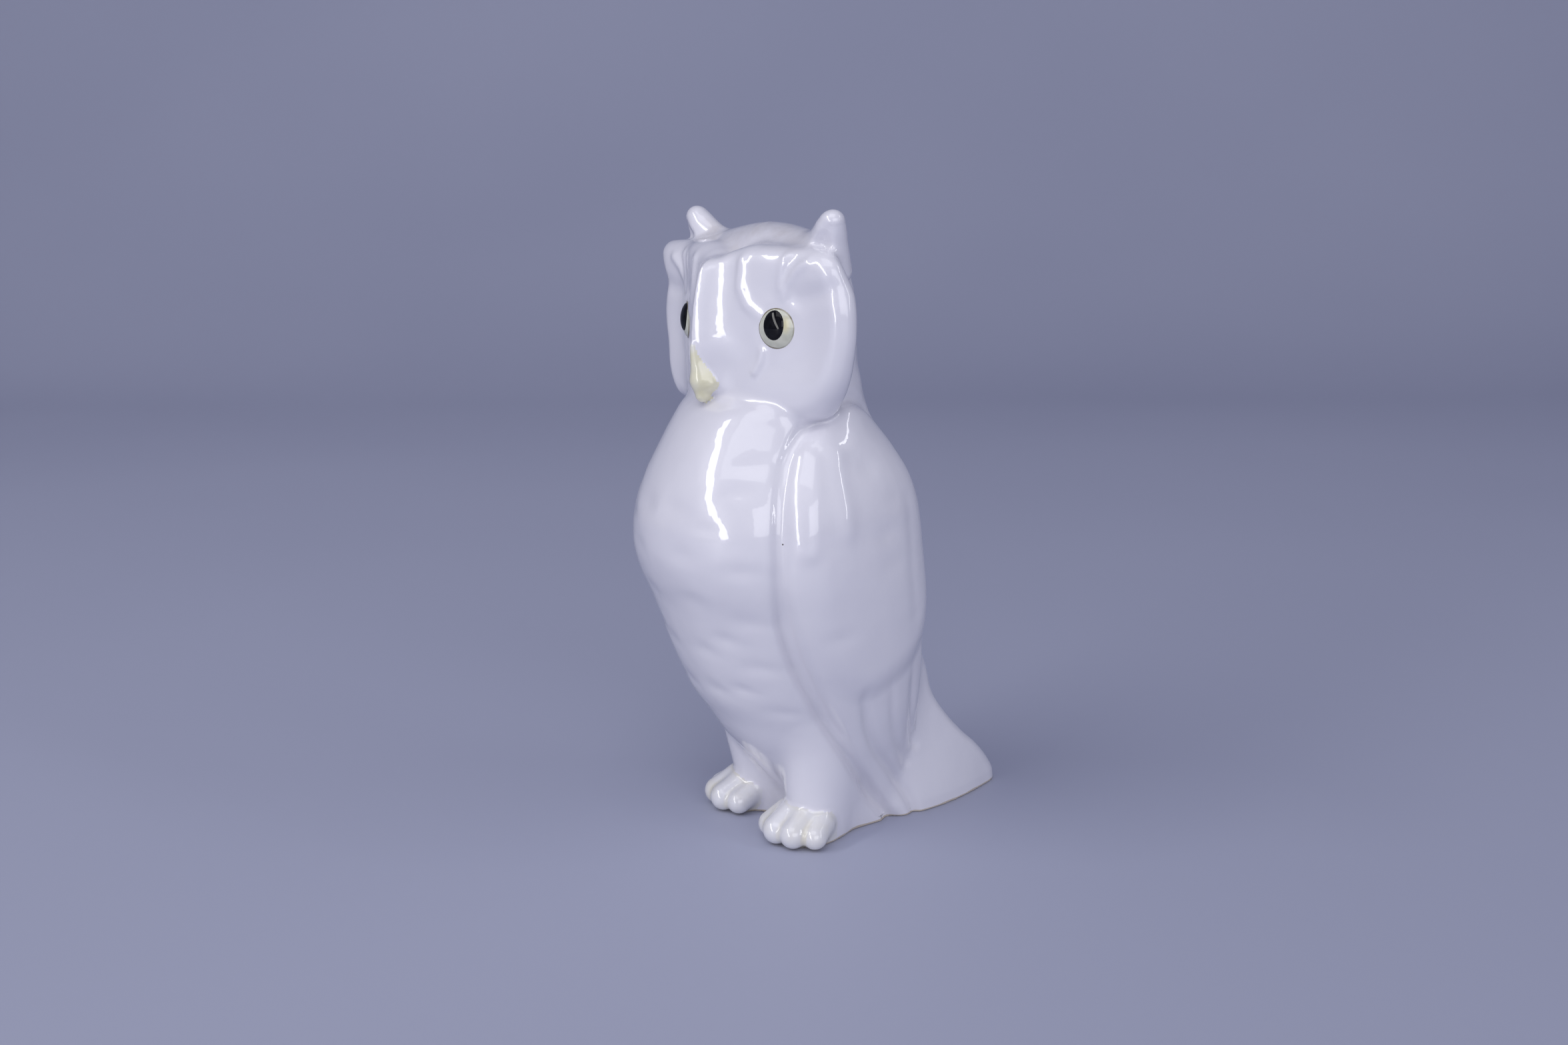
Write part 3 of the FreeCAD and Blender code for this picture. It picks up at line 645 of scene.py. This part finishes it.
for side, sg in (("left", 1.0), ("right", -1.0)):
    n, up, tb = eye_frame(sg)
    o = Vector((EYE_O[0] * sg, EYE_O[1], EYE_O[2]))
    n_, up_, tb_ = (np.array(v[:]) for v in (n, up, tb))
    o_ = np.array(o[:])
    # iris: rings out to a rounded rim and back underneath
    rad = np.concatenate([np.linspace(0, 1, 26)[1:] * R_IRIS * 0.985, [R_IRIS * 1.0, R_IRIS * 1.003, R_IRIS * 0.985]])
    hgt = np.concatenate([dome_height(rad[:25]), [0.0, -0.5, -1.3]]) - CENTRE_IN
    K = 72
    vs, fs, rr, aa = [o_ + n_ * (DOME - CENTRE_IN)], [], [0.0], [0.0]
    for i, (r, h) in enumerate(zip(rad, hgt)):
        for j in range(K):
            t = 2 * math.pi * j / K
            x, y = math.cos(t) * r, math.sin(t) * r * 1.015
            vs.append(o_ + tb_ * x + up_ * y + n_ * h)
            rr.append(min(1.0, r / R_IRIS))
            aa.append(t)
    for j in range(K):
        fs.append((0, 1 + j, 1 + (j + 1) % K))
    for i in range(len(rad) - 1):
        for j in range(K):
            a, b = 1 + i * K + j, 1 + i * K + (j + 1) % K
            fs.append((a, a + K, b + K, b))
    vs.append(o_ - n_ * 1.4)
    rr.append(1.0)
    aa.append(0.0)
    last = 1 + (len(rad) - 1) * K
    for j in range(K):
        fs.append((len(vs) - 1, last + (j + 1) % K, last + j))
    if tb.cross(up).dot(n) < 0:
        fs = [f[::-1] for f in fs]
    vs = np.array(vs)
    loc = np.array([[(v - o_) @ tb_, (v - o_) @ up_] for v in vs])
    iris = make_mesh("enamel_%s_iris" % side, scene_xyz(vs), fs, None,
                     {"radius": np.array(rr), "ex": loc[:, 0], "ey": loc[:, 1]})
    pieces[side + "_iris"] = iris
    # pupil: an upright oval, nearer the bill and the top of the eye
    cx, cy, hx, hy = (0.16 if sg > 0 else 0.72), 0.52, 1.68, 2.18
    vs, fs = [], []
    ring_r = [0.0] + list(np.linspace(0, 1, 13)[1:]) + [1.02, 0.99]
    off = []
    for i, s in enumerate(ring_r):
        for j in range(K if i else 1):
            t = 2 * math.pi * j / K
            x = cx + math.cos(t) * hx * s
            y = cy + math.sin(t) * hy * s
            r = math.hypot(x, y)
            lift = 0.10 * (1 - min(1.0, s) ** 6) ** 0.5 if s <= 1.0 else (-0.06 if i == len(ring_r) - 2 else -0.25)
            vs.append(o_ + tb_ * x + up_ * y + n_ * (float(dome_height(r)) - CENTRE_IN + lift + 0.012))
    for j in range(K):
        fs.append((0, 1 + j, 1 + (j + 1) % K))
    for i in range(len(ring_r) - 2):
        for j in range(K):
            a, b = 1 + i * K + j, 1 + i * K + (j + 1) % K
            fs.append((a, a + K, b + K, b))
    last = 1 + (len(ring_r) - 2) * K
    vs.append(o_ + tb_ * cx + up_ * cy + n_ * (DOME - CENTRE_IN - 0.45))
    for j in range(K):
        fs.append((len(vs) - 1, last + (j + 1) % K, last + j))
    if tb.cross(up).dot(n) < 0:
        fs = [f[::-1] for f in fs]
    pieces[side + "_pupil"] = make_mesh("enamel_%s_pupil" % side, scene_xyz(np.array(vs)), fs)


# ======================================================================
# Materials
# ======================================================================
class Nodes:
    """a short way to write a node tree"""

    def __init__(s, name):
        s.mat = bpy.data.materials.new(name)
        s.mat.use_nodes = True
        s.t = s.mat.node_tree
        s.bsdf = s.t.nodes["Principled BSDF"]

    def new(s, kind, **kw):
        nd = s.t.nodes.new(kind)
        for k, v in kw.items():
            setattr(nd, k, v)
        return nd

    def link(s, a, b):
        s.t.links.new(a, b)

    def math(s, op, a, b=None, c=None, clamp=False):
        nd = s.new("ShaderNodeMath", operation=op, use_clamp=clamp)
        for i, v in enumerate((a, b, c)):
            if v is None:
                continue
            if hasattr(v, "node"):
                s.link(v, nd.inputs[i])
            else:
                nd.inputs[i].default_value = v
        return nd.outputs[0]

    def mix(s, fac, a, b):
        nd = s.new("ShaderNodeMix", data_type="RGBA")
        for sock, v in ((nd.inputs[0], fac), (nd.inputs[6], a), (nd.inputs[7], b)):
            if hasattr(v, "node"):
                s.link(v, sock)
            elif isinstance(v, (tuple, list)):
                sock.default_value = (*v, 1.0) if len(v) == 3 else v
            else:
                sock.default_value = v
        return nd.outputs[2]

    def ramp(s, fac, stops):
        nd = s.new("ShaderNodeValToRGB")
        cr = nd.color_ramp
        while len(cr.elements) < len(stops):
            cr.elements.new(0.5)
        for el, (p, v) in zip(cr.elements, stops):
            el.position = p
            el.color = (v, v, v, 1) if isinstance(v, (int, float)) else (*v, 1)
        s.link(fac, nd.inputs[0])
        return nd.outputs[0]

    def attr(s, name):
        return s.new("ShaderNodeAttribute", attribute_name=name).outputs["Fac"]

    def noise(s, scale, detail=2.0, rough=0.5, coord=None):
        nd = s.new("ShaderNodeTexNoise")
        nd.inputs["Scale"].default_value = scale
        nd.inputs["Detail"].default_value = detail
        nd.inputs["Roughness"].default_value = rough
        s.link(coord if coord is not None else s.coord(), nd.inputs["Vector"])
        return nd.outputs[0]

    def coord(s):
        if not hasattr(s, "_c"):
            s._c = s.new("ShaderNodeTexCoord").outputs["Object"]
        return s._c

    def bump(s, height, dist, strength=1.0, prev=None):
        nd = s.new("ShaderNodeBump")
        nd.inputs["Strength"].default_value = strength
        nd.inputs["Distance"].default_value = dist
        s.link(height, nd.inputs["Height"])
        if prev is not None:
            s.link(prev, nd.inputs["Normal"])
        return nd.outputs[0]


def glaze(n, color, rough=0.30, coat_rough=0.022, ripple=0.00019):
    """the clear glaze over a ceramic body: a coat with a slow ripple, and a satin body below"""
    b = n.bsdf
    n.link(color, b.inputs["Base Color"])
    b.inputs["Roughness"].default_value = rough
    b.inputs["IOR"].default_value = 1.5
    b.inputs["Coat Weight"].default_value = 1.0
    b.inputs["Coat Roughness"].default_value = coat_rough
    b.inputs["Coat IOR"].default_value = 1.52
    h1 = n.noise(95.0, 2.0, 0.45)
    h2 = n.noise(420.0, 2.0, 0.5)
    bump = n.bump(h1, ripple * 2.2, 0.55)
    bump = n.bump(h2, ripple * 0.35, 0.5, bump)
    # pinholes: rare tiny pits, bumped in here; porcelain() draws them near-black as painted shade inside each pit
    vor = n.new("ShaderNodeTexVoronoi", feature="F1")
    vor.inputs["Scale"].default_value = 165.0
    n.link(n.coord(), vor.inputs["Vector"])
    sep = n.new("ShaderNodeSeparateColor")
    n.link(vor.outputs["Color"], sep.inputs[0])
    rare = n.math("GREATER_THAN", sep.outputs[0], 0.74)
    size = n.math("MULTIPLY_ADD", sep.outputs[1], 0.022, 0.014)
    pit = n.math("MULTIPLY", rare, n.math("LESS_THAN", vor.outputs["Distance"], size))
    inv = n.math("SUBTRACT", 1.0, pit)
    bump = n.bump(inv, 0.00008, 0.6, bump)
    n.link(bump, b.inputs["Normal"])
    n.link(bump, b.inputs["Coat Normal"])
    return pit


def porcelain():
    n = Nodes("porcelain_white_glaze")
    cloud = n.ramp(n.noise(55.0, 3.0, 0.55), [(0.30, (0.740, 0.730, 0.800)), (0.72, (0.790, 0.780, 0.840))])
    # painted shade: creases and hollows are drawn a darker lavender, the shade they would catch; the same mask also
    # keeps the grey smudges of dirt inside the creases
    crease_shade_and_dirt_mask = n.ramp(n.attr("crease_shade"), [(0.36, 0.0), (0.95, 1.0)])
    col = n.mix(n.math("MULTIPLY", crease_shade_and_dirt_mask, 0.6), cloud, (0.56, 0.56, 0.64))
    smudge = n.ramp(n.noise(120.0, 4.0, 0.6), [(0.60, 0.0), (0.78, 1.0)])
    col = n.mix(n.math("MULTIPLY", n.math("MULTIPLY", smudge, crease_shade_and_dirt_mask), 0.35), col, (0.52, 0.50, 0.50))
    speck = n.ramp(n.noise(230.0, 4.0, 0.62), [(0.38, 0.15), (0.66, 1.0)])
    col = n.mix(n.math("MULTIPLY", n.math("MULTIPLY", speck, n.attr("dust")), 0.62), col, (0.56, 0.53, 0.545))
    col = foot_edge(n, col)
    # painted shade: the pinholes are drawn near-black, standing in for the shade inside each tiny pit
    col2 = n.new("ShaderNodeMix", data_type="RGBA")
    n.link(col, col2.inputs[6])
    col2.inputs[7].default_value = (0.10, 0.085, 0.08, 1)
    pit = glaze(n, col2.outputs[2])
    n.link(pit, col2.inputs[0])
    return n.mat


def foot_edge(n, col):
    """the bare, slightly brown body shows in a thin line where the glaze ends at the table"""
    sep = n.new("ShaderNodeSeparateXYZ")
    n.link(n.coord(), sep.inputs[0])
    wob = n.math("MULTIPLY_ADD", n.noise(260.0, 2.0), 0.0006, 0.00012)
    line = n.math("LESS_THAN", sep.outputs["Z"], wob)
    return n.mix(n.math("MULTIPLY", line, 0.8), col, (0.50, 0.42, 0.30))


def toe_glaze():
    n = Nodes("toe_wash_glaze")
    base = n.ramp(n.noise(60.0, 3.0, 0.55), [(0.30, (0.75, 0.748, 0.785)), (0.72, (0.79, 0.788, 0.815))])
    wash = n.ramp(n.attr("groove"), [(0.10, 0.0), (0.55, 1.0)])
    blot = n.ramp(n.noise(190.0, 3.0, 0.5), [(0.42, 0.0), (0.66, 1.0)])
    amount = n.math("ADD", n.math("MULTIPLY", wash, 0.95), n.math("MULTIPLY", blot, 0.22), clamp=True)
    col = n.mix(amount, base, (0.66, 0.60, 0.36))
    col = foot_edge(n, col)
    glaze(n, col)
    return n.mat


def bill_glaze():
    n = Nodes("bill_yellow_glaze")
    tone = n.ramp(n.noise(330.0, 3.0, 0.5), [(0.32, (0.74, 0.71, 0.50)), (0.70, (0.80, 0.78, 0.63))])
    sep = n.new("ShaderNodeSeparateXYZ")
    n.link(n.coord(), sep.inputs[0])
    ragged = n.math("MULTIPLY_ADD", n.noise(700.0, 2.0), 0.0016, sep.outputs["Z"])
    top = n.ramp(n.math("MULTIPLY_ADD", ragged, 1000.0 / 3.0, -79.2 / 3.0), [(0.0, 0.0), (0.55, 1.0)])
    col = n.mix(top, tone, (0.79, 0.79, 0.80))
    glaze(n, col, 0.28)
    return n.mat


def iris_enamel():
    n = Nodes("iris_ivory_enamel")
    ex, ey, rad = n.attr("ex"), n.attr("ey"), n.attr("radius")
    ivory = n.ramp(n.noise(900.0, 3.0, 0.5), [(0.35, (0.56, 0.57, 0.47)), (0.68, (0.66, 0.66, 0.56))])
    # a warm patch at the upper outer part of the iris
    d = n.math("POWER", n.math("ADD", n.math("POWER", n.math("ADD", ex, 1.75), 2.0), n.math("MULTIPLY", n.math("POWER", n.math("ADD", ey, -0.6), 2.0), 0.28)), 0.5)
    patch = n.ramp(d, [(0.25, 1.0), (0.85, 0.0)])
    col = n.mix(n.math("MULTIPLY", patch, 0.75), ivory, (0.72, 0.66, 0.38))
    # the thin brush line round the iris, uneven, missing in places
    edge_w = n.math("MULTIPLY_ADD", n.noise(520.0, 2.0), 0.10, 0.885)
    line = n.math("MULTIPLY", n.math("GREATER_THAN", rad, edge_w), n.ramp(n.noise(240.0, 1.0), [(0.32, 0.15), (0.52, 0.90)]))
    col = n.mix(line, col, (0.16, 0.13, 0.07))
    glaze(n, col, 0.22, 0.02, 0.00004)
    return n.mat


def pupil_enamel():
    n = Nodes("pupil_black_enamel")
    dark = n.ramp(n.noise(1100.0, 4.0, 0.6), [(0.40, (0.001, 0.001, 0.002)), (0.75, (0.009, 0.009, 0.012))])
    glaze(n, dark, 0.20, 0.03, 0.00005)
    n.bsdf.inputs["Specular IOR Level"].default_value = 0.0
    n.bsdf.inputs["Coat Weight"].default_value = 0.5
    return n.mat


mats = {"porcelain": porcelain(), "toe_glaze": toe_glaze(), "bill_glaze": bill_glaze(), "iris_enamel": iris_enamel(), "pupil_enamel": pupil_enamel()}
slot_of = {"left_foot": "toe_glaze", "right_foot": "toe_glaze", "beak": "bill_glaze", "left_iris": "iris_enamel",
           "right_iris": "iris_enamel", "left_pupil": "pupil_enamel", "right_pupil": "pupil_enamel"}
for node, ob in pieces.items():
    slot = slot_of.get(node, "porcelain")
    ob.data.materials.append(mats[slot])
    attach(ob, "root")
    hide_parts(node)

# ======================================================================
# Floor, light and camera
# ======================================================================
n = Nodes("pale_floor")
n.link(n.ramp(n.noise(3.0, 2.0), [(0.3, (0.405, 0.425, 0.550)), (0.7, (0.435, 0.455, 0.580))]), n.bsdf.inputs["Base Color"])
n.bsdf.inputs["Roughness"].default_value = 0.55
prof = [(-3.0, 0.0)] + [(0.55 + 0.5 * math.sin(t), 0.5 - 0.5 * math.cos(t)) for t in np.linspace(0, math.pi / 2, 24)] + [(1.05, 3.0)]
AZ, EL, DIST, LENS = 54.0, 11.6, 0.250, 2339.0 / 2352.0 * 36.0
a, e, roll = math.radians(AZ), math.radians(EL), math.radians(-0.42)
back = Vector((math.sin(a) * math.cos(e), -math.cos(a) * math.cos(e), math.sin(e)))
right = Vector((math.cos(a), math.sin(a), 0))
up = back.cross(right)
away = Vector((-back.x, -back.y, 0)).normalized()
fv, ff = [], []
for (s_, z_) in prof:
    for k in (-3.0, 3.0):
        p = away * s_ + right * k
        fv.append((p.x, p.y, z_))
for i in range(len(prof) - 1):
    ff.append((2 * i, 2 * i + 1, 2 * i + 3, 2 * i + 2))
floor = make_mesh("floor", np.array(fv), ff)
floor.data.materials.append(n.mat)

cam = bpy.data.cameras.new("camera")
cam.lens, cam.sensor_width = LENS, 36.0
cam.clip_start, cam.clip_end = 0.01, 20.0
cam.dof.use_dof = False
cob = bpy.data.objects.new("camera", cam)
bpy.context.scene.collection.objects.link(cob)
pos = right * -0.0003 + Vector((0, SHIFT * 0.001, 0.0503)) + back * DIST
r2 = right * math.cos(roll) + up * math.sin(roll)
u2 = up * math.cos(roll) - right * math.sin(roll)
M = Matrix((r2, u2, back)).transposed().to_4x4()
M.translation = pos
cob.matrix_world = M
bpy.context.scene.camera = cob


def area(name, direction, dist, sx, sy, power, color=(1, 1, 1), spin=0.0, aim=(0, 0, 0.05)):
    """a soft light: direction is in camera terms (right, up, towards the camera)"""
    d = (right * direction[0] + Vector((0, 0, 1)) * direction[1] + Vector((back.x, back.y, 0)).normalized() * direction[2]).normalized()
    li = bpy.data.lights.new(name, "AREA")
    li.shape, li.size, li.size_y, li.energy, li.color = "RECTANGLE", sx, sy, power, color
    lo = bpy.data.objects.new(name, li)
    bpy.context.scene.collection.objects.link(lo)
    t = Vector(aim)
    lo.matrix_world = Matrix.Translation(t + d * dist) @ d.to_track_quat("Z", "Y").to_matrix().to_4x4() @ Matrix.Rotation(math.radians(spin), 4, "Z")
    return lo


area("key_strip_left", (-0.735, 0.40, 0.54), 0.95, 0.12, 1.25, 3.6, (1.0, 0.99, 0.98), 39.0)
area("strip_right", (0.80, 0.46, 0.36), 0.95, 0.05, 0.85, 1.0, (0.97, 0.98, 1.0), -32.0)
area("top_soft", (-0.25, 1.0, 0.55), 1.1, 0.9, 0.7, 2.6, (0.97, 0.98, 1.0))
area("front_fill", (0.25, 0.30, 1.0), 1.6, 1.3, 0.8, 6.6, (0.97, 0.97, 1.0))
w = bpy.data.worlds.new("room")
w.use_nodes = True
bg = w.node_tree.nodes["Background"]
bg.inputs[0].default_value = (0.56, 0.575, 0.76, 1)
bg.inputs[1].default_value = 0.42
bpy.context.scene.world = w
bpy.context.scene.view_settings.view_transform = "Standard"
